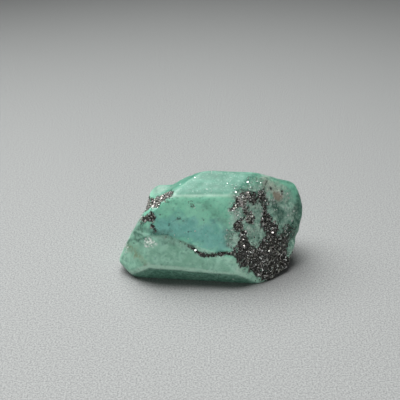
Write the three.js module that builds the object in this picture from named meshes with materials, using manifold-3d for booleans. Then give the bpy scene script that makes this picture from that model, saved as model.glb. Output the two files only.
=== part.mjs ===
// Raw emerald crystal on its matrix: one natural stone.
//
// A broken hexagonal beryl prism lies on one side with its long axis along X. It has grown
// together with a thinner prism that forms a ledge along the foot of its front face, and with
// a stub of a third crystal on its rear left shoulder. The right end is a break across the
// prism that carries mica schist. The crystals are one piece of stone, so they are one solid,
// tumbled until its edges are rounded, with an underside worn flat where it rests.
//
// Each crystal is given by its facets. A ball of triangles about the stone's heart is drawn in
// from outside along straight lines until it lies on the three crystals together.
//
// Units are millimetres and degrees, +Z is up and -Y is the front. The origin is under the
// middle of the stone, on the surface that it rests on.

import * as THREE from "three";
import { mergeVertices } from "three/addons/utils/BufferGeometryUtils.js";
import Module from "manifold-3d";

const wasm = await Module();
wasm.setup();

// Driving dimensions.
const HEART = new THREE.Vector3(-0.11, -0.87, 6.5); // inside the two prisms
const STUB_HEART = new THREE.Vector3(-7.51, 0.73, 9.8);
const HALF_SIZE = new THREE.Vector3(14, 8, 7.5); // of the stone, roughly, about its heart
const WORN_EDGE = 0.3; // how far the edges between facets are rounded off
const WORN_GROOVE = 0.25; // how far the grooves between grown-together crystals are filled in
const WORN_BREAK = 1.4; // how far the large prism's sides and its right break run into each other
const BALL_DETAIL = 20; // how many times each edge of the ball's icosahedron is split
const FLOOR_BLOCK = 60; // side of the block that takes off everything under the resting face

// A facet turned `facing` degrees from the front towards +X, whose normal rises `rise` degrees
// above the horizon. It lies `reach` from the heart of its crystal.
const facet = (facing, rise, reach) => {
  const turn = THREE.MathUtils.degToRad(facing);
  const lift = THREE.MathUtils.degToRad(rise);
  const normal = new THREE.Vector3(
    Math.sin(turn) * Math.cos(lift),
    -Math.cos(turn) * Math.cos(lift),
    Math.sin(lift),
  );
  return { normal, reach };
};

// The large prism: its sides, its left break and the worn end on the right.
const LARGE_PRISM = {
  heart: HEART,
  facets: [
    facet(-2, 20, 5.4), // front side
    facet(-4, 68, 7.92), // roof side
    facet(175, 50, 8.3), // rear roof side
    facet(178, 2, 8.6), // rear side
    facet(180, -45, 8.5), // lower rear side
    facet(0, -90, 7.5), // underside, below the resting face
    facet(-6, -36, 7.75), // lower front side
    facet(-107, 23, 10.5), // left break
    facet(-98, 42, 9.65), // left break, upper part
    facet(-45, 14, 10.3), // left front chip
    facet(-140, 15, 9.5), // left rear chip
    facet(-79, 62, 9.4), // left roof chip
    facet(-120, 55, 8.65), // left rear roof chip
    facet(-70, -48, 13.1), // left foot
    facet(90, 12, 15.3), // right end
    facet(80, 48, 13.2), // right shoulder
    facet(140, 8, 13.2), // right rear chip
  ],
};

// The break that cuts the large prism off at the right and carries the schist.
const SCHIST_BREAK = {
  heart: HEART,
  facets: [
    facet(42, 20, 7.3), // upper part
    facet(30, 11, 7.6), // lower part
    facet(60, -40, 12.3), // right foot
    facet(98, -25, 13.2), // lower right end
  ],
};

// The thinner prism along the foot of the front.
const LEDGE_PRISM = {
  heart: HEART,
  facets: [
    facet(-3, 14, 5.95), // front side
    facet(14, 50, 3.25), // top side, which runs back into a groove
    facet(0, 90, 1.6), // top
    facet(-6, -36, 7.9), // lower front side
    facet(0, -90, 7.5), // underside, below the resting face
    facet(180, 0, 0), // rear side, inside the large prism
    facet(-112, 24, 9.8), // left break, which runs back into the large prism
    facet(-45, 10, 10.6), // left front chip
    facet(-140, 0, 10), // left rear chip
    facet(-70, -48, 13.3), // left foot
    facet(42, 20, 6.8), // schist break, upper part
    facet(30, 11, 7.45), // schist break, lower part
    facet(60, -40, 12), // right foot
  ],
};

// The stub of a third crystal on the rear left shoulder.
const STUB_CRYSTAL = {
  heart: STUB_HEART,
  facets: [
    facet(-30, 20, 2.4), // front left side
    facet(-85, 10, 2.3), // left side
    facet(-75, 45, 2.1), // upper left side
    facet(60, 10, 2.2), // right side
    facet(180, 0, 2.2), // rear side
    facet(0, 78, 2.15), // cap
    facet(0, -90, 5), // root, inside the large prism
  ],
};

// How far a point lies outside a crystal: WORN_EDGE * log(sum(exp(distance / WORN_EDGE))), a
// soft maximum of its distances above the facets that rounds the edges between them.
function outsideCrystal(point, { heart, facets }) {
  const from = point.clone().sub(heart);
  const steps = facets.map(({ normal, reach }) => (normal.dot(from) - reach) / WORN_EDGE);
  const most = Math.max(...steps);
  const sum = steps.reduce((total, step) => total + Math.exp(step - most), 0);
  return WORN_EDGE * (most + Math.log(sum));
}

// The smaller of two distances, eased where they are nearly equal.
function softMinimum(a, b, ease) {
  const share = THREE.MathUtils.clamp(0.5 + (0.5 * (b - a)) / ease, 0, 1);
  return b + (a - b) * share - ease * share * (1 - share);
}

// How far a point lies outside the three crystals together.
function outsideStone(point) {
  const large = -softMinimum(
    -outsideCrystal(point, LARGE_PRISM),
    -outsideCrystal(point, SCHIST_BREAK),
    WORN_BREAK,
  );
  const prisms = softMinimum(large, outsideCrystal(point, LEDGE_PRISM), WORN_GROOVE);
  return softMinimum(prisms, outsideCrystal(point, STUB_CRYSTAL), WORN_GROOVE);
}

// The outermost point of the stone in one direction from its heart. The distance outside never
// overstates the way still to go, so it is a safe step to take.
function surfacePoint(direction) {
  const CLOSE_ENOUGH = 1e-3;
  let reach = FLOOR_BLOCK / 2;
  let step = reach;
  const point = new THREE.Vector3();
  while (step > CLOSE_ENOUGH) {
    point.copy(HEART).addScaledVector(direction, reach);
    step = outsideStone(point);
    reach -= Math.max(step, 0);
  }
  return point;
}

// A closed ball of near-even triangles, drawn in until it lies on the stone.
function drawnInBall() {
  const ball = new THREE.IcosahedronGeometry(1, BALL_DETAIL);
  ball.deleteAttribute("normal");
  ball.deleteAttribute("uv");
  const geometry = mergeVertices(ball, 1e-4);
  const positions = geometry.getAttribute("position");
  const direction = new THREE.Vector3();
  for (let i = 0; i < positions.count; i++) {
    direction.fromBufferAttribute(positions, i).multiply(HALF_SIZE).normalize();
    positions.setXYZ(i, ...surfacePoint(direction));
  }
  return geometry;
}

// A closed geometry as a manifold-3d solid, with its shared vertices merged.
function solidOf(geometry) {
  geometry.deleteAttribute("normal");
  geometry.deleteAttribute("uv");
  const merged = mergeVertices(geometry, 1e-4);
  return new wasm.Manifold(
    new wasm.Mesh({
      numProp: 3,
      vertProperties: new Float32Array(merged.getAttribute("position").array),
      triVerts: new Uint32Array(merged.index.array),
    }),
  );
}

// A manifold-3d solid as a geometry.
function geometryOf(solid) {
  const { vertProperties, triVerts } = solid.getMesh();
  const geometry = new THREE.BufferGeometry();
  geometry.setAttribute("position", new THREE.BufferAttribute(vertProperties, 3));
  geometry.setIndex(new THREE.BufferAttribute(triVerts, 1));
  geometry.computeVertexNormals();
  return geometry;
}

// The stone, less everything below the flat face that it rests on.
function stoneGeometry() {
  const block = new THREE.BoxGeometry(FLOOR_BLOCK, FLOOR_BLOCK, FLOOR_BLOCK);
  block.translate(0, 0, -FLOOR_BLOCK / 2);
  return geometryOf(solidOf(drawnInBall()).subtract(solidOf(block)));
}

const emerald = new THREE.MeshStandardMaterial({ color: 0x6fa892, roughness: 0.4, metalness: 0 });
const stone = new THREE.Mesh(stoneGeometry(), emerald);
stone.name = "emerald_crystal";

const part = new THREE.Group();
part.add(stone);

export default part;
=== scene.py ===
import bpy
import numpy as np
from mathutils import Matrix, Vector


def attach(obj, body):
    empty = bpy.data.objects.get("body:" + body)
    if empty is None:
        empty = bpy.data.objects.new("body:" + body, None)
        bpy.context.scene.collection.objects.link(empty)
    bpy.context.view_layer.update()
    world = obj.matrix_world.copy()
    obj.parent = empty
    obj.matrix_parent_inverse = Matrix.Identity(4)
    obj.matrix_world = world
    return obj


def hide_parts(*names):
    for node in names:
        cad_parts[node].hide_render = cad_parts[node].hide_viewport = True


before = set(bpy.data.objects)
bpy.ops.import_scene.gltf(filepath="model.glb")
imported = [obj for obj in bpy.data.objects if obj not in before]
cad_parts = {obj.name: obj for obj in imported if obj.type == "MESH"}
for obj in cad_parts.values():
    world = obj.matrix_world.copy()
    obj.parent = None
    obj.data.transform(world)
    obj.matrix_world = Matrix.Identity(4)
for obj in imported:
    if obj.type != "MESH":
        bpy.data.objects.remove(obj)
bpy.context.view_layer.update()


# The stone. Two beryl prisms lie on their sides, grown together, with a stub of a third crystal
# on the rear left shoulder. All of it is one piece of rock, tumbled until its edges are round,
# and its right end is a break across the prisms that is crusted with mica schist.
MM = 0.001
HEART = np.array([-0.11, -0.87, 6.5])
STUB_HEART = np.array([-7.51, 0.73, 9.8])
HALF_SIZE = np.array([14.0, 8.0, 7.5])
WORN_EDGE = 0.26
WORN_GROOVE = 0.25
WORN_BREAK = 1.4
WORN_CHIP = 0.2

# Facets are (degrees from the front towards +X, degrees above the horizon, mm from the heart).
LARGE_SIDES = [
    (-2, 20, 5.4), (-4, 68, 7.92), (175, 50, 8.3), (178, 2, 8.6), (180, -45, 8.5), (0, -90, 7.5),
    (-6, -36, 7.75), (-107, 23, 10.5), (-45, 14, 10.3), (-140, 15, 9.5), (-79, 62, 9.4),
    (-120, 55, 8.65), (-98, 42, 9.65), (-70, -48, 13.1), (90, 12, 15.3), (80, 48, 13.2),
    (140, 8, 13.2),
]
LARGE_BREAK = [(42, 20, 7.3), (30, 11, 7.6), (60, -40, 12.3), (98, -25, 13.2)]
LEDGE = [
    (-3, 14, 5.95), (14, 50, 3.25), (0, 90, 1.6), (-6, -36, 7.9), (0, -90, 7.5), (180, 0, 0),
    (-112, 24, 9.8), (-45, 10, 10.6), (-140, 0, 10), (-70, -48, 13.3), (42, 20, 6.8),
    (30, 11, 7.45), (60, -40, 12),
]
STUB = [
    (-30, 20, 2.4), (-85, 10, 2.3), (-75, 45, 2.1), (60, 10, 2.2), (180, 0, 2.2), (0, 78, 2.15),
    (0, -90, 5),
]

# Chips are (x, y, z, radius) of the balls whose caps were knocked off the edges, in mm.
CHIPS = [
    (-13.7, -6.6, 7.2, 1.6), (-3.0, 2.0, 17.3, 2.2), (12.6, 9.2, 14.2, 3.2), (-9.6, 8.2, 13.4, 3.6),
    (4.5, 9.9, 13.2, 2.6), (15.1, -0.2, 10.6, 1.7), (-5.0, 10.6, 4.6, 2.9), (8.8, 10.4, 3.2, 2.6),
    (10.6, 0.2, 18.9, 2.9), (-14.7, 1.2, 6.2, 1.6),
]


def heights(points, heart, facets):
    """Each point's height over each facet in mm: (point - heart) . normal - reach."""
    turn, lift = np.radians(np.array(facets, float)[:, :2].T)
    normals = np.stack([np.sin(turn) * np.cos(lift), -np.cos(turn) * np.cos(lift), np.sin(lift)])
    return (points - heart) @ normals - np.array(facets, float)[:, 2]


def outside_crystal(points, heart, facets):
    """How far points are outside a crystal with rounded edges: edge * log(sum(exp(height / edge)))."""
    steps = heights(points, heart, facets) / WORN_EDGE
    most = steps.max(1)
    return WORN_EDGE * (most + np.log(np.exp(steps - most[:, None]).sum(1)))


def soft_minimum(a, b, ease):
    """The smaller of a and b, less ease * s * (1 - s) where s, the share of a, is between 0 and 1."""
    share = np.clip(0.5 + 0.5 * (b - a) / ease, 0, 1)
    return b + (a - b) * share - ease * share * (1 - share)


def waves(points, length, seed):
    """Soft hills of unit spread: 24 cosines that run in random directions, about length mm long."""
    count = 24
    rng = np.random.default_rng(seed)
    way = rng.normal(size=(3, count))
    way *= 2 * np.pi / length / rng.uniform(0.7, 1.4, count) / np.linalg.norm(way, axis=0)
    return np.cos(points @ way + rng.uniform(0, 2 * np.pi, count)).sum(1) / np.sqrt(count / 2)


def outside_stone(points):
    """The soft minimum over the three crystals, a gentle sway, less the chips, above z = 0."""
    sides = outside_crystal(points, HEART, LARGE_SIDES)
    out = -soft_minimum(-sides, -outside_crystal(points, HEART, LARGE_BREAK), WORN_BREAK)
    out = soft_minimum(out, outside_crystal(points, HEART, LEDGE), WORN_GROOVE)
    out = soft_minimum(out, outside_crystal(points, STUB_HEART, STUB), WORN_GROOVE)
    out = out + 0.035 * waves(points, 9.0, 1) + 0.012 * waves(points, 3.0, 2)
    for x, y, z, radius in CHIPS:
        scoop = radius - np.linalg.norm(points - (x, y, z), axis=1)
        out = -soft_minimum(-out, -scoop, WORN_CHIP)
    return np.maximum(out, -points[:, 2])


def grid_quads(lines):
    """The quads between the points of a lines * lines grid, each as its four corners' numbers."""
    i = np.arange(lines**2).reshape(lines, lines)
    return np.stack([i[:-1, :-1], i[1:, :-1], i[1:, 1:], i[:-1, 1:]], -1).reshape(-1, 4)


def cube_ball(splits):
    """Directions on splits * splits grids over the six sides of a cube, and the quads that join
    them: each grid line is at tan(angle) for even steps of angle, so that the quads are even."""
    line = np.tan(np.linspace(-np.pi / 4, np.pi / 4, splits + 1))
    a, b = np.meshgrid(line, line, indexing="ij")
    one = np.ones_like(a)
    sides = [(one, a, b), (-one, b, a), (b, one, a), (a, -one, b), (a, b, one), (b, a, -one)]
    ways = np.concatenate([np.stack(side, -1).reshape(-1, 3) for side in sides])
    quads = grid_quads(splits + 1)
    quads = np.concatenate([quads + side * (splits + 1) ** 2 for side in range(6)])
    _, first, joined = np.unique(np.round(ways, 9), axis=0, return_index=True, return_inverse=True)
    ways = ways[first] * HALF_SIZE
    return ways / np.linalg.norm(ways, axis=1)[:, None], joined.reshape(-1)[quads]


def drawn_in(ways, heart, outside):
    """Points on rays from the heart, moved in from start mm out by four fifths of their distance
    outside, over and over, until they lie on the surface."""
    start, share, rounds, near_enough = 24.0, 0.8, 90, 1e-3
    reach = np.full(len(ways), start)
    moving = np.arange(len(ways))
    for _ in range(rounds):
        step = outside(heart + ways[moving] * reach[moving, None])
        reach[moving] -= np.maximum(share * step, 0)
        moving = moving[step > near_enough]
        if not len(moving):
            break
    return heart + ways * reach[:, None]


def slopes(points, outside):
    """Unit normals: how fast the distance outside grows along X, Y and Z, scaled to length 1."""
    nudge = 0.01
    rise = np.stack(
        [outside(points + step) - outside(points - step) for step in nudge * np.eye(3)], 1
    )
    return rise / np.linalg.norm(rise, axis=1)[:, None]


def ramp(value, low, high):
    """0 below low, 1 above high, and t * t * (3 - 2 * t) between."""
    t = np.clip((value - low) / (high - low), 0, 1)
    return t * t * (3 - 2 * t)


def path_distance(points, path):
    """Distance to a line through the path's points: the least over its stretches."""
    path = np.array([*path, path[-1]], float)
    starts, legs = path[:-1], np.diff(path, axis=0)
    away = points[:, None] - starts
    along = np.clip((away * legs).sum(-1) / np.maximum((legs**2).sum(-1), 1e-9), 0, 1)
    return np.linalg.norm(away - along[..., None] * legs, axis=-1).min(1)


def spot(points, centre, radii):
    """1 at a spot's centre, 0 at its rim and negative outside: 1 - |(point - centre) / radii|."""
    return 1 - np.linalg.norm((points - centre) / np.array(radii, float), axis=1)


def grains(points, spacing, seed):
    """Grains of rock about spacing mm across, one per cell of a cubic lattice with its middle
    jittered. Gives each point's distance to the nearest middle, how much farther the next one
    is, both as shares of spacing, and the nearest grain's own number from 0 to 1."""
    rng = np.random.default_rng(seed)
    wrap = 32
    jitter, number = rng.random((wrap, wrap, wrap, 3)), rng.random((wrap, wrap, wrap))
    place = points / spacing
    cell = np.floor(place).astype(int)
    near = np.full(len(points), 9.0)
    second = near.copy()
    own = np.zeros(len(points))
    for shift in np.stack(np.meshgrid(*[[-1, 0, 1]] * 3), -1).reshape(-1, 3):
        other = cell + shift
        key = tuple((other % wrap).T)
        away = np.linalg.norm(other + jitter[key] - place, axis=1)
        closer = away < near
        second = np.where(closer, near, np.minimum(second, away))
        own = np.where(closer, number[key], own)
        near = np.where(closer, away, near)
    return near, second - near, own


STONE_SPLITS = 128
ways, quads = cube_ball(STONE_SPLITS)
stone = drawn_in(ways, HEART, outside_stone)
normals = slopes(stone, outside_stone)
x, y, z = stone.T

# Where the schist, the feldspar and the shades of green lie, as masks from 0 to 1.
fray = 0.30 * waves(stone, 2.2, 11) + 0.16 * waves(stone, 0.8, 12)


def streak(path, radius, soft=0.8, jag=0.7):
    """1 near a line over the stone, 0 from radius + soft / 2 on, with a frayed rim."""
    return ramp(radius - path_distance(stone, path) + jag * fray, -soft / 2, soft / 2)


def most(*masks):
    """The greatest of several masks."""
    return np.maximum.reduce(np.broadcast_arrays(*masks))


# The break is on the front right. Schist fills it from the front side to the pale end, darkest
# in seams round a lump of pale green rock. Paths are lists of (x, y, z) in mm.
front_rim = x - 2.6 - 0.09 * np.maximum(8 - z, 0) ** 2
top_rim = 0.66 * (x - 2.8) - 4.2 - y
right_rim = 8.8 + 0.42 * (12 - z) - x
on_break = ramp(np.minimum(front_rim - 0.5, top_rim) + 0.9 * fray, -1.3, 0.6)
on_break = on_break * ramp(3.0 - y, 0, 2)
schist_bed = ramp(np.minimum(np.minimum(front_rim, top_rim), right_rim) + 1.1 * fray, -0.6, 0.9)
schist_bed *= ramp(3.0 - y, 0, 2)
top_seam = streak([(3.5, -4.5, 12.5), (4.6, -3.7, 12.9), (6.2, -2.8, 12.9), (7.6, -1.7, 12.6)], 0.7)
BRIGHT_SEAM = [(4.3, -3.9, 12.9), (4.9, -3.9, 12.0), (5.2, -4.2, 11.1), (5.7, -4.3, 10.2)]
bright_seam = 0.85 * streak(BRIGHT_SEAM, 0.8)
right_seam = most(
    0.55 * streak([(7.9, -1.4, 12.4), (8.1, -1.7, 11.2)], 0.55),
    streak([(8.1, -1.9, 10.4), (8.0, -2.6, 9.3)], 0.6),
    streak([(8.5, -2.6, 8.6), (9.0, -2.6, 7.6), (9.3, -3.0, 6.3), (8.6, -4.1, 5.2)], 1.4),
)
left_seam = streak([(3.9, -5.3, 9.6), (4.3, -5.7, 8.4), (4.6, -5.9, 7.4), (5.1, -6.1, 6.2)], 0.6)
low_mass = ramp(6.4 - z + 0.8 * fray, -0.5, 0.8)
seams = most(top_seam, bright_seam, right_seam, left_seam, low_mass)
schist = schist_bed * (0.15 + 0.75 * seams)

# On the back, a broken band of mica slants across, and a patch of schist lies low on the right.
back_way = np.abs(0.55 * x + z - 5.5 + 0.8 * waves(stone, 6.0, 21))
back_band = ramp(0.55 - back_way + 1.1 * fray, 0, 0.9)
back_band *= ramp(y, 2.0, 4.0) * 0.8
back_patch = ramp(spot(stone, (9.7, 7.5, 3.0), (5.2, 4, 3.4)) + 0.4 * fray, 0, 0.5) * 0.85

# A thin dark vein runs along the front, where the large crystal meets the ledge.
VEIN = [
    (-7.8, -5.7, 8.3), (-6.8, -5.9, 7.9), (-5.4, -6.2, 7.4), (-4.2, -6.4, 7.0), (-3.5, -6.6, 6.6),
    (-2.7, -6.8, 6.2), (-2.0, -7.1, 5.7), (-1.1, -7.2, 5.3), (0.0, -7.2, 5.4), (2.1, -7.0, 5.6),
    (3.4, -7.0, 5.4),
]
vein_way = path_distance(stone, VEIN)
vein_width = 0.08 + 0.16 * ramp(x, -4.5, -2.0) + 0.16 * fray
vein = 0.8 * ramp(vein_width - vein_way, -0.3, 0.15) * (0.3 + 0.7 * ramp(x, -5.0, -2.2))
vein_halo = ramp(0.75 - vein_way + 0.4 * fray, 0, 0.8) * (0.5 + 0.5 * ramp(-x, 0, 4))

# Mica sheathes the left shoulder, with a blotch under it and a thin trail down the left rim.
# Some more lies low on the right end, and single dark grains sit on the front.
SHEATH = [
    (-10.1, 1.5, 9.2), (-9.5, -0.6, 10.5), (-8.7, -1.8, 11.6), (-7.7, -2.7, 12.6), (-7.1, -2.7, 13.0),
]
sheath = 0.78 * streak(SHEATH, 1.45, 1.0, 0.8)
BLOTCH = [
    (-11.0, -2.2, 8.9), (-9.9, -4.5, 10.1), (-9.0, -4.8, 10.4), (-9.0, -5.1, 9.6), (-8.7, -5.3, 9.0),
]
blotch = 0.8 * streak(BLOTCH, 0.5, 0.8, 0.9)
LEFT_RIM = [(-10.0, 0.5, 10.0), (-11.2, -1.5, 8.4), (-12.4, -2.0, 6.4), (-13.3, -2.4, 4.4)]
left_rim = 0.42 * streak(LEFT_RIM, 0.5, 0.9)
LOW_END = [(12.1, -0.5, 6.2), (11.2, -1.7, 5.2), (10.9, -1.9, 3.6)]
low_end = 0.5 * streak(LOW_END, 1.2, 1.6)
SPECKS = [
    (-4.9, -5.0, 10.4, 0.36), (-4.3, -5.2, 10.0, 0.3), (-2.9, -4.4, 12.3, 0.25), (-6.3, -5.3, 10.0, 0.1),
]
specks = 0.40 * most(*[streak([place], size, 0.6) for *place, size in SPECKS])
ABOVE_SCHIST = [(3.6, -3.0, 14.3), (5.2, -1.9, 14.5), (6.6, -0.9, 14.4), (7.8, 0.0, 14.0)]
above_schist = streak(ABOVE_SCHIST, 0.8, 1.4)
LONE_GRAINS = 0.012
mica = most(
    schist, vein, sheath, blotch, left_rim, specks, back_band, back_patch, low_end,
    0.08 * on_break, 0.16 * above_schist, LONE_GRAINS,
)
rock = most(schist_bed, back_patch, back_band)

# Pale feldspar lies at the right end with one tan grain in it, milky green and deep green pools
# round it, and a few dark spots.
feldspar = streak([(8.0, 0.3, 13.9), (9.2, 0.5, 12.9), (10.4, 0.8, 11.9)], 1.1, 1.4)
PALE_LUMP = [
    (6.0, -3.0, 12.2), (7.0, -2.6, 11.4), (7.3, -2.6, 10.6), (6.6, -3.6, 9.9), (5.9, -4.5, 9.2),
    (6.1, -4.9, 8.2),
]
milky_green_and_cap_highlight = most(
    streak([(13.0, 1.6, 8.6), (12.2, 0.6, 8.2)], 0.5, 1.2),
    0.7 * streak([(11.0, 1.3, 11.6), (12.0, 2.0, 10.6), (12.8, 2.2, 9.4)], 0.6, 1.4),
    # This stroke paints the stub's cap paler: a painted highlight.
    0.6 * streak([(-8.9, 1.6, 12.0), (-7.6, 1.4, 12.3), (-6.6, 0.9, 12.6)], 1.0, 1.0),
    streak([(9.1, -0.7, 11.3), (8.9, -0.4, 12.2)], 0.3, 0.8),
    0.7 * streak(PALE_LUMP, 0.8, 1.0),
)
RIGHT_POOL = [
    (14.2, 3.2, 9.8), (13.9, 2.4, 8.0), (13.2, 0.8, 6.4), (12.0, -0.7, 5.4), (11.2, -1.8, 5.2),
]
deep_pool = most(
    streak([(9.6, -0.4, 10.4), (10.0, -0.6, 9.4), (10.6, -0.7, 8.4)], 0.8, 1.4),
    streak(RIGHT_POOL, 1.3, 1.5),
)
tan = streak([(9.8, 0.2, 11.7), (10.4, 0.5, 11.4)], 0.55, 0.5, 0.4)
dark_spots = most(
    streak([(10.8, 1.2, 11.9)], 0.30, 0.3, 0.3),
    streak([(9.1, 0.1, 12.9)], 0.20, 0.3, 0.3),
    streak([(8.5, 0.3, 14.2), (8.2, -0.2, 13.8)], 0.08, 0.2, 0.15),
)

# The relief that the masks call for, in mm along the normals: schist in grains, a sunken vein,
# small pits in the beryl, and nothing at the foot, so that the stone still stands flat.
SCHIST_GRAIN = 0.45
PIT_SPACING = 1.5
_, gap, own = grains(stone, SCHIST_GRAIN, 31)
undulation = 0.07 * waves(stone, 2.4, 34) + 0.02 * waves(stone, 0.9, 35)
solid_mica = ramp(mica, 0.2, 0.8)
relief = solid_mica * (0.14 * (own - 0.5) + 0.05 * ramp(gap, 0.0, 0.4) - 0.08)
relief += most(on_break, rock) * undulation - 0.16 * vein - 0.05 * vein_halo - 0.08 * sheath
relief += (1 - rock) * (1 - on_break) * 0.012 * waves(stone, 1.3, 42)
pit_near, _, pit_own = grains(stone, PIT_SPACING, 43)
pits = ramp(0.12 - pit_near, 0.0, 0.08) * (pit_own > 0.72)
relief -= 0.05 * pits + 0.08 * dark_spots
relief *= ramp(z, 0.02, 0.5)
stone = stone + normals * relief[:, None]
stone[:, 2] = np.maximum(stone[:, 2], 0)

# Colour masks of the green beryl. An edge is pale where its two facets are about as near.
steps = heights(stone, HEART, LARGE_SIDES + LARGE_BREAK) / WORN_EDGE
steps.sort(1)
ledge_steps = heights(stone, HEART, LEDGE) / WORN_EDGE
ledge_steps.sort(1)
# The pale is partly wear and partly a painted highlight, strongest along the top edge and the foot edge.
edge_wear_and_highlight = ramp(steps[:, -2] - steps[:, -1], -1.4, 0.0)
ledge_edge_wear_and_highlight = ramp(ledge_steps[:, -2] - ledge_steps[:, -1], -1.4, 0.0)
on_ledge = ledge_steps[:, -1] < steps[:, -1]
edge_wear_and_highlight = np.where(on_ledge, ledge_edge_wear_and_highlight, edge_wear_and_highlight)
TOP_EDGE = [(-5.8, -3.6, 13.4), (-1.8, -3.6, 13.8), (1.2, -3.7, 13.9), (3.4, -3.9, 13.5)]
FOOT_EDGE = [(-12.8, -4.9, 1.7), (-9.4, -7.1, 3.1), (-1.8, -7.7, 3.3), (5.8, -7.1, 2.5)]
OTHER_EDGES = 0.25
edge_wear_and_highlight *= most(0.8 * streak(TOP_EDGE, 0.7, 1.0), streak(FOOT_EDGE, 0.8, 1.0), OTHER_EDGES)
low_front = ramp(4.9 - z, -0.5, 0.5)
ledge = most(np.where(on_ledge, 1.0, 0.0), low_front) * ramp(-y, 2.0, 4.0)
back = 0.65 * ramp(normals[:, 1], 0.1, 0.6)
teal = streak([(-7.6, -5.4, 9.3), (-3.8, -5.7, 9.0), (-0.6, -6.1, 8.0), (1.5, -6.3, 7.5)], 1.9, 2.2, 1.2)
left_end = ramp(-x, 9.0, 11.0) * ramp(10.0 - z, 0, 2.0)
FRONT_BAND = [
    (-1.1, -4.5, 12.2), (0.9, -5.1, 10.9), (2.1, -5.5, 10.1), (2.4, -5.9, 8.6), (2.3, -6.5, 7.0),
]
LEFT_LINE = [(-12.9, -3.4, 5.8), (-11.9, -4.3, 6.4), (-10.7, -5.2, 7.1), (-9.6, -5.8, 7.6)]
VEIN_START = [(-9.0, -5.6, 8.1), (-7.8, -5.7, 8.1), (-5.4, -6.2, 7.3), (-3.4, -6.7, 6.5)]
# Painted shade on the left facet above the ledge.
left_facet_painted_shade = 0.85 * ramp(-9.2 - x + fray, 0, 1.6) * ramp(z + 0.7 * fray, 6.3, 7.3)
left_facet_painted_shade = left_facet_painted_shade * ramp(10.8 - z, 0, 1.5) * ramp(1.5 - y, 0, 2)
# Dark green stains, plus painted shade on facets facing down or back, the left facet and the vein's groove.
stain_and_painted_shade = most(
    0.45 * streak(FRONT_BAND, 0.5, 1.4), streak(LEFT_LINE, 0.35), 0.8 * streak(VEIN_START, 0.5, 1.2),
    0.8 * streak(LOW_END, 1.3, 1.6), 0.7 * streak(LEFT_RIM, 0.8, 1.4),
    0.8 * streak([(-9.9, -4.2, 9.2), (-9.2, -5.3, 8.4)], 0.6, 1.0),
    0.55 * vein_halo, deep_pool, left_facet_painted_shade, 0.25 * above_schist,
    0.95 * ramp(-normals[:, 2], 0.1, 0.5), 0.25 * ramp(normals[:, 1], 0.1, 0.6),
)
olive = streak([(-12.6, -4.0, 5.1), (-11.3, -5.4, 4.6), (-10.2, -6.2, 4.0)], 0.9, 1.4)
# White crystal grains low on the left, made brighter as painted glints.
white_grains_and_glints = most(
    streak([(-9.8, -6.1, 6.9), (-9.2, -6.3, 6.9)], 0.5, 0.5),
    0.9 * streak([(-13.2, -3.6, 4.2), (-13.3, -3.6, 3.6)], 0.45, 0.6),
)
# Up-facing facets are painted a deeper green: painted shade that tones down the light they get from above.
painted_top_shade = ramp(normals[:, 2], 0.55, 0.85)
dark = most(dark_spots, 0.8 * pits)
# Painted shade: the schist is darkened in the sunken gaps between its grains.
painted_crevice_shade = solid_mica * ramp(-gap, -0.18, 0.0)


def mesh_object(name, points, faces):
    """A mesh object at the origin, from points in mm."""
    mesh = bpy.data.meshes.new(name)
    mesh.from_pydata((points * MM).tolist(), [], faces)
    mesh.shade_smooth()
    made = bpy.data.objects.new(name, mesh)
    bpy.context.scene.collection.objects.link(made)
    return made


def paint(made, name, values):
    """One number per vertex, as an attribute that a material can read."""
    layer = made.data.attributes.new(name, "FLOAT", "POINT")
    layer.data.foreach_set("value", np.ascontiguousarray(values, np.float32))


stone_piece = mesh_object("emerald_stone", stone, quads.tolist())
for name, values in {
    "mica": mica, "rock": most(on_break, rock), "feldspar": feldspar, "milky_green_and_cap_highlight": milky_green_and_cap_highlight,
    "edge_wear_and_highlight": edge_wear_and_highlight * (1 - rock), "teal": teal, "stain_and_painted_shade": stain_and_painted_shade, "olive": olive, "white_grains_and_glints": white_grains_and_glints,
    "tan": tan, "dark": dark, "painted_crevice_shade": painted_crevice_shade, "ledge": most(ledge, left_end, back), "painted_top_shade": painted_top_shade,
}.items():
    paint(stone_piece, name, values)


class Value:
    """A shader socket that can be reckoned with: each operator adds one Math node."""

    def __init__(self, socket):
        self.socket = socket

    def node(self, kind, settings=(), inputs=(), output=0):
        """Add a node of this kind, set its settings, then the values or links of its sockets."""
        tree = self.socket.id_data
        made = tree.nodes.new(kind)
        for name, value in dict(settings).items():
            setattr(made, name, value)
        for name, value in dict(inputs).items():
            if isinstance(value, Value):
                tree.links.new(value.socket, made.inputs[name])
            else:
                made.inputs[name].default_value = value
        return Value(made.outputs[output])

    def math(self, operation, *others):
        """One Math node on this value and the others, in that order."""
        return self.node("ShaderNodeMath", {"operation": operation}, dict(enumerate((self, *others))))

    def __add__(self, other):
        return self.math("ADD", other)

    def __sub__(self, other):
        return self.math("SUBTRACT", other)

    def __mul__(self, other):
        return self.math("MULTIPLY", other)

    def __rsub__(self, other):
        return self.math("MULTIPLY_ADD", -1.0, other)

    __radd__ = __add__
    __rmul__ = __mul__

    def above(self, low, high):
        """0 below low, 1 above high, and an S between."""
        limits = {"Value": self, "From Min": low, "From Max": high}
        return self.node("ShaderNodeMapRange", {"interpolation_type": "SMOOTHSTEP"}, limits)

    def mix(self, a, b):
        """Colour a where this value is 0 and colour b where it is 1."""
        made = self.node("ShaderNodeMix", {"data_type": "RGBA"})
        tree = made.socket.id_data
        node = made.socket.node
        for name, value, kind in (("Factor", self, "VALUE"), ("A", a, "RGBA"), ("B", b, "RGBA")):
            socket = next(s for s in node.inputs if s.name == name and s.type == kind)
            if isinstance(value, Value):
                tree.links.new(value.socket, socket)
            else:
                socket.default_value = value if kind == "VALUE" else (*value, 1)
        return Value(next(s for s in node.outputs if s.type == "RGBA"))


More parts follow.
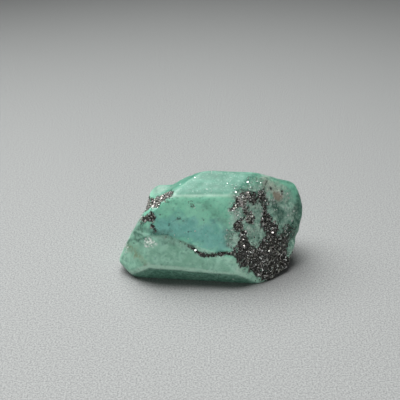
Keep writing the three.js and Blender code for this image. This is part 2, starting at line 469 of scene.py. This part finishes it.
def new_material(name):
    """A material with an empty node tree but for its output, and that output as a Value."""
    material = bpy.data.materials.new(name)
    material.use_nodes = True
    material.node_tree.nodes.clear()
    output = material.node_tree.nodes.new("ShaderNodeOutputMaterial")
    return material, Value(output.inputs["Surface"])


def place_in_mm(surface):
    """Where a point lies on its object, in mm."""
    place = surface.node("ShaderNodeTexCoord", output=3)
    return surface.node("ShaderNodeMapping", {}, {"Vector": place, "Scale": (1 / MM,) * 3})


def shaded(surface, inputs):
    """Join one principled shader with these inputs to a material's output."""
    shader = surface.node("ShaderNodeBsdfPrincipled", {}, inputs)
    surface.socket.id_data.links.new(shader.socket, surface.socket)


def noise(vector, size, detail=4.0, rough=0.55, twist=0.0):
    """Cloudy noise about size mm across, from 0 to 1."""
    looks = {"Vector": vector, "Scale": 1 / size, "Detail": detail, "Roughness": rough, "Distortion": twist}
    return vector.node("ShaderNodeTexNoise", {}, looks)


def mask(surface, name):
    """A mask that was painted on the mesh."""
    return surface.node("ShaderNodeAttribute", {"attribute_name": name}, output=2)


def cell_number(vector, size, channel):
    """One random number from 0 to 1 for each grain about size mm across."""
    cells = vector.node("ShaderNodeTexVoronoi", {}, {"Vector": vector, "Scale": 1 / size}, output=1)
    return vector.node("ShaderNodeSeparateColor", {}, {"Color": cells}, output=channel)


# The stone's finish: satin, slightly translucent beryl whose green runs in clouds along the
# prism, and a crust of dark schist and pale feldspar where the masks say.
beryl_finish, surface = new_material("tumbled_emerald")
place = place_in_mm(surface)
stretch = {"Vector": place, "Scale": (0.3, 1, 1), "Rotation": (0, 0.05, 0)}
along = surface.node("ShaderNodeMapping", {}, stretch)
clouds = noise(along, 2.4, 5.0, 0.6, 0.4).above(0.35, 0.65)
blotches = noise(place, 1.0, 4.0, 0.55, 0.5).above(0.36, 0.66)
mottle = noise(place, 0.4, 3.0)
fine = noise(place, 0.5, 4.0, 0.7, 0.6).above(0.4, 0.6)
speckle = blotches * 0.5 + fine * 0.5

# Beryl colours, stains, painted shade and highlights, each laid over the ones before where its mask says.
LEAF, MINT = (0.21, 0.60, 0.42), (0.32, 0.73, 0.53)
TEAL, PALE_TEAL = (0.125, 0.42, 0.36), (0.22, 0.55, 0.49)
LEDGE_GREEN, PALE_LEDGE = (0.24, 0.48, 0.35), (0.38, 0.66, 0.52)
TOP_SHADE_GREEN, PALE_TOP_SHADE = (0.010, 0.12, 0.075), (0.030, 0.21, 0.14)
ROCK_GREEN, PALE_ROCK = (0.13, 0.31, 0.23), (0.49, 0.70, 0.58)
SPAR_GREEN, PALE_SPAR = (0.25, 0.41, 0.31), (0.74, 0.86, 0.72)
MILK_GREEN, PALE_MILK = (0.22, 0.38, 0.30), (0.42, 0.56, 0.47)
green = (clouds * 0.6 + blotches * 0.4).mix(LEAF, MINT)
green = (mask(surface, "teal") * 0.9).mix(green, (clouds * 0.4 + blotches * 0.6).mix(TEAL, PALE_TEAL))
green = (mask(surface, "ledge") * 0.8).mix(green, blotches.mix(LEDGE_GREEN, PALE_LEDGE))
# Painted shade: the up-facing facets darker green.
green = (mask(surface, "painted_top_shade") * 0.8).mix(green, clouds.mix(TOP_SHADE_GREEN, PALE_TOP_SHADE))
green = mask(surface, "rock").mix(green, speckle.mix(ROCK_GREEN, PALE_ROCK))
green = mask(surface, "feldspar").mix(green, speckle.mix(SPAR_GREEN, PALE_SPAR))
chalk = noise(place, 0.45, 4.0, 0.7)
green = (mask(surface, "feldspar") * chalk.above(0.52, 0.66)).mix(green, (0.72, 0.76, 0.66))
cracks = chalk.math("MULTIPLY", -1.0).above(-0.42, -0.32)
green = (mask(surface, "feldspar") * cracks * 0.8).mix(green, (0.05, 0.10, 0.075))
# Milky green, and a painted highlight on the stub's cap.
green = (mask(surface, "milky_green_and_cap_highlight") * 0.8).mix(green, blotches.mix(MILK_GREEN, PALE_MILK))
green = (mask(surface, "olive") * blotches * 0.8).mix(green, (0.19, 0.25, 0.13))
# Dark green: stains, and painted shade.
green = (mask(surface, "stain_and_painted_shade") * (0.95 - fine * 0.35)).mix(green, (0.022, 0.10, 0.068))
# Paler edges: partly wear, partly a painted highlight.
green = (mask(surface, "edge_wear_and_highlight") * 0.9).mix(green, (0.50, 0.74, 0.60))
green = ((mottle - 0.54) * 2.0).math("MAXIMUM", 0).mix(green, (0.03, 0.12, 0.085))
green = ((noise(place, 0.3, 2.0) - 0.58) * 2.4).math("MAXIMUM", 0).mix(green, (0.42, 0.66, 0.54))
green = (mask(surface, "tan") * 0.9).mix(green, (0.31, 0.27, 0.205))
crystals = cell_number(place, 0.24, 0).above(0.2, 0.9)
# White grains, partly painted glints.
green = (mask(surface, "white_grains_and_glints") * crystals).mix(green, (0.85, 0.95, 0.88))
green = mask(surface, "dark").mix(green, (0.010, 0.016, 0.012))

# Dark mica covers a grain of rock where the mask is denser than that grain's own number.
LARGE_GRAIN, SMALL_GRAIN = 0.26, 0.14
BLACK_MICA, BROWN_MICA = (0.006, 0.009, 0.006), (0.066, 0.064, 0.052)
density = mask(surface, "mica")
cover = (density * 1.05 - cell_number(place, LARGE_GRAIN, 0)).above(0.0, 0.05)
fine_cover = (density * 0.7 - cell_number(place, SMALL_GRAIN, 0)).above(0.0, 0.05)
cover = cover.math("MAXIMUM", fine_cover)
schist_colour = cell_number(place, LARGE_GRAIN, 1).above(0.35, 1.0).mix(BLACK_MICA, BROWN_MICA)
colour = (cover * (density * 1.15 + 0.25)).mix(green, schist_colour)
# Painted shade in the gaps between the schist's grains.
colour = (mask(surface, "painted_crevice_shade") * 0.6).mix(colour, (0.006, 0.008, 0.007))

grain = noise(place, 0.12, 3.0)
roughness = cover * 0.06 + noise(place, 1.2).above(0.3, 0.7) * 0.12 + 0.42
height = grain * 0.008 + noise(place, 0.5, 3.0) * 0.012
height = height + mask(surface, "rock") * noise(place, 0.25, 4.0) * 0.05
bump = surface.node("ShaderNodeBump", {}, {"Height": height, "Distance": MM, "Strength": 0.8})
shaded(surface, {
    "Base Color": colour, "Roughness": roughness, "Normal": bump,
    "Subsurface Weight": 0.22, "Subsurface Radius": (0.6, 1.0, 0.8), "Subsurface Scale": MM,
    "IOR": 1.58, "Specular IOR Level": 0.4, "Coat Weight": 0.05, "Coat Roughness": 0.3,
})
stone_piece.data.materials.append(beryl_finish)
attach(stone_piece, "root")
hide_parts("emerald_crystal")


# Mica flakes. Thin six-sided plates of dark biotite and silvery muscovite, grown into the rock
# at all angles. They come in three sets: in the schist of the break, in the veins and on the
# rest of the stone, and pale glints of muscovite round the schist.
def scattered(points, faces, weight, count, seed):
    """Random places on a quad mesh, more where the weight is more: a quad is drawn in proportion
    to its area times its weight, and a place in it by two even shares of its sides."""
    rng = np.random.default_rng(seed)
    corners = points[faces]
    side_a, side_b = corners[:, 1] - corners[:, 0], corners[:, 3] - corners[:, 0]
    area = np.linalg.norm(np.cross(side_a, side_b), axis=1)
    chance = area * weight[faces].mean(1)
    drawn = rng.choice(len(faces), count, p=chance / chance.sum())
    u, v = rng.random((2, count, 1))
    normal = np.cross(side_a, side_b)[drawn]
    return (
        corners[drawn, 0] + u * side_a[drawn] + v * side_b[drawn],
        normal / np.linalg.norm(normal, axis=1)[:, None],
    )


PLATE_SIDES = 6
PLATE_TILT = 0.35
PLATE_HALF_THICKNESS = 0.07


def plates(places, normals, widths, seed):
    """Six-sided plates: corners every 60 degrees or so round an axis that is the normal plus
    PLATE_TILT times a random arrow. Each plate has 12 corners and 8 faces."""
    rng = np.random.default_rng(seed)
    count = len(places)
    axis = normals + PLATE_TILT * rng.normal(size=(count, 3))
    axis /= np.linalg.norm(axis, axis=1)[:, None]
    side = np.cross(axis, rng.normal(size=(count, 3)))
    side /= np.linalg.norm(side, axis=1)[:, None]
    other = np.cross(axis, side)
    turn = np.radians(360 / PLATE_SIDES) * np.arange(PLATE_SIDES)
    angle = turn + rng.uniform(-0.25, 0.25, (count, PLATE_SIDES))
    reach = widths[:, None] / 2 * rng.uniform(0.75, 1.15, (count, PLATE_SIDES))
    rim = (reach * np.cos(angle))[..., None] * side[:, None]
    rim = rim + (reach * np.sin(angle))[..., None] * other[:, None]
    half = (widths * PLATE_HALF_THICKNESS)[:, None, None] * axis[:, None]
    corners = np.concatenate([places[:, None] + rim - half, places[:, None] + rim + half], 1)
    start = 2 * PLATE_SIDES * np.arange(count)[:, None]
    lower = np.arange(PLATE_SIDES)
    after = np.roll(lower, -1)
    upper = lower + PLATE_SIDES
    walls = np.stack([lower, after, after + PLATE_SIDES, upper], 1)
    faces = (start + upper).tolist() + (start + lower[::-1]).tolist()
    faces += (start[..., None] + walls[None]).reshape(-1, 4).tolist()
    return corners.reshape(-1, 3), faces


# The flakes' finish: dark, silvery or nearly white by the tone of each flake, and glossy.
mica_finish, surface = new_material("mica")
tone = mask(surface, "tone")
place = place_in_mm(surface)
silver_colour = noise(place, 0.9, 2.0).above(0.4, 0.6).mix((0.68, 0.62, 0.59), (0.54, 0.57, 0.48))
flake_colour = tone.above(0.45, 0.6).mix((0.014, 0.015, 0.011), silver_colour)
flake_colour = noise(place, 0.15, 2.0).above(0.4, 0.8).mix(flake_colour, (0.06, 0.055, 0.05))
# Nearly white flakes are painted glints.
flake_colour = tone.above(0.9, 1.0).mix(flake_colour, (0.85, 0.89, 0.85))
shaded(surface, {
    "Base Color": flake_colour, "Roughness": noise(place, 0.3) * 0.2 + 0.16,
    "Metallic": tone.above(0.4, 0.6) * 0.4, "IOR": 1.6, "Coat Weight": 0.5, "Coat Roughness": 0.15,
})

# How many flakes lie where, per area. The pale ones lie mostly along the rim of the schist.
bed = mica**2.5 * (0.5 + 0.5 * ramp(waves(stone, 1.6, 61), -1, 1))
on_end = bed * schist_bed
elsewhere = bed * (1 - schist_bed)
fringe = schist_bed * (1 - 0.8 * mica) * ramp(2.2 - front_rim, 0, 1.5)
fringe = fringe + 0.4 * schist_bed * (1 - 0.6 * mica)
fringe *= 0.25 + 0.55 * ramp(z, 8.0, 10.5)
fringe += 0.012 * ramp(x, -9.0, -3.0)
fringe += 0.6 * streak([(8.7, -0.7, 12.3), (9.1, -0.7, 11.4)], 0.6, 0.8)
fringe += 0.5 * white_grains_and_glints + 0.25 * feldspar + 0.10 * on_break + 0.25 * above_schist
SMALLEST, LARGEST = 0.07, 0.5
LOWEST_PLACE = 0.35
LIFT = 0.01
FLOOR_GAP = 0.02
for name, weight, count, usual_width, pale, seed in (
    ("mica_on_break", on_end, 5200, 0.17, 0, 71),
    ("mica_in_veins", elsewhere, 3000, 0.17, 0, 72),
    ("pale_mica_glints", fringe, 800, 0.12, 1, 73),
):
    rng = np.random.default_rng(seed)
    places, ups = scattered(stone, quads, weight, count, seed)
    keep = places[:, 2] > LOWEST_PLACE
    places, ups = places[keep], ups[keep]
    widths = np.clip(rng.lognormal(np.log(usual_width), 0.45, len(places)), SMALLEST, LARGEST)
    corners, faces = plates(places + ups * LIFT, ups, widths, seed + 10)
    corners[:, 2] = np.maximum(corners[:, 2], FLOOR_GAP)
    flakes = mesh_object(name, corners, faces)
    flakes.data.shade_flat()
    seam_way = path_distance(places, [(4.3, -3.9, 12.9), (5.0, -3.9, 12.0), (5.6, -4.3, 10.4)])
    silvery = np.maximum(ramp(1.6 - seam_way, 0, 1.2), 0.5 * ramp(-6.0 - places[:, 0], 0, 1))
    tones = rng.random(len(places)) * 0.6 + 0.08 + 0.33 * silvery + pale
    tones -= 0.06 * ramp(9.0 - places[:, 2], 0, 2) * ramp(places[:, 0], 0, 2)
    # A few flakes in every set are turned nearly white: painted glints.
    tones = np.where(rng.random(len(places)) > 0.94 - 0.06 * silvery, 1.0, tones)
    paint(flakes, "tone", np.repeat(tones, 2 * PLATE_SIDES))
    flakes.data.materials.append(mica_finish)
    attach(flakes, "root")
    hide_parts("emerald_crystal")


# The stage: a plain pale floor, one large soft light above the stone, a little behind it and to
# its left, a small weak one low at the front right, and dim light from all round.
FLOOR_REACH = 1500
FLOOR_LINES = 13
floor_finish, surface = new_material("pale_floor")
fibres = noise(place_in_mm(surface), 0.25, 2.0, 0.7).above(0.25, 0.75)
floor_colour = fibres.mix((0.228, 0.235, 0.232), (0.448, 0.460, 0.454))
shaded(surface, {"Base Color": floor_colour, "Roughness": 0.85})
line = np.linspace(-FLOOR_REACH, FLOOR_REACH, FLOOR_LINES)
across, away = np.meshgrid(line, line, indexing="ij")
floor_points = np.stack([across.ravel(), away.ravel(), np.zeros(FLOOR_LINES**2)], 1)
floor = mesh_object("floor", floor_points, grid_quads(FLOOR_LINES).tolist())
floor.data.materials.append(floor_finish)


def soft_light(name, place, aim, size, power, spread):
    """A square area light of that size in metres, aimed at a point, with a spread in degrees."""
    lamp = bpy.data.lights.new(name, "AREA")
    lamp.size, lamp.energy, lamp.spread = size, power, np.radians(spread)
    made = bpy.data.objects.new(name, lamp)
    bpy.context.scene.collection.objects.link(made)
    made.location = place
    made.rotation_euler = (Vector(aim) - Vector(place)).to_track_quat("-Z", "Y").to_euler()


soft_light("key", (-0.075, 0.04, 0.25), (0.02, -0.13, 0), 0.30, 0.90, 125)
soft_light("low fill", (0.12, -0.38, 0.05), (0, 0, 0.008), 0.10, 0.40, 180)
world = bpy.data.worlds.new("room")
bpy.context.scene.world = world
world.use_nodes = True
world.node_tree.nodes["Background"].inputs["Color"].default_value = (0.93, 0.97, 1.0, 1)
world.node_tree.nodes["Background"].inputs["Strength"].default_value = 0.015
bpy.context.scene.view_settings.view_transform = "Standard"

# The camera looks down on the front of the stone at 27 degrees, at a point a little above and to
# the left of the large crystal's heart.
CAMERA_RISE = np.radians(27)
CAMERA_DISTANCE = 0.147
AIM_UP, AIM_LEFT = 4.42, 1.7
up = np.array([0, np.sin(CAMERA_RISE), np.cos(CAMERA_RISE)])
towards = np.array([0, -np.cos(CAMERA_RISE), np.sin(CAMERA_RISE)])
target = HEART * MM + up * AIM_UP * MM - np.array([AIM_LEFT, 0, 0]) * MM
lens = bpy.data.cameras.new("camera")
lens.lens, lens.sensor_width, lens.clip_start = 85, 36, 0.001
camera = bpy.data.objects.new("camera", lens)
bpy.context.scene.collection.objects.link(camera)
camera.location = target + towards * CAMERA_DISTANCE
camera.rotation_euler = Vector(-towards).to_track_quat("-Z", "Y").to_euler()
bpy.context.scene.camera = camera
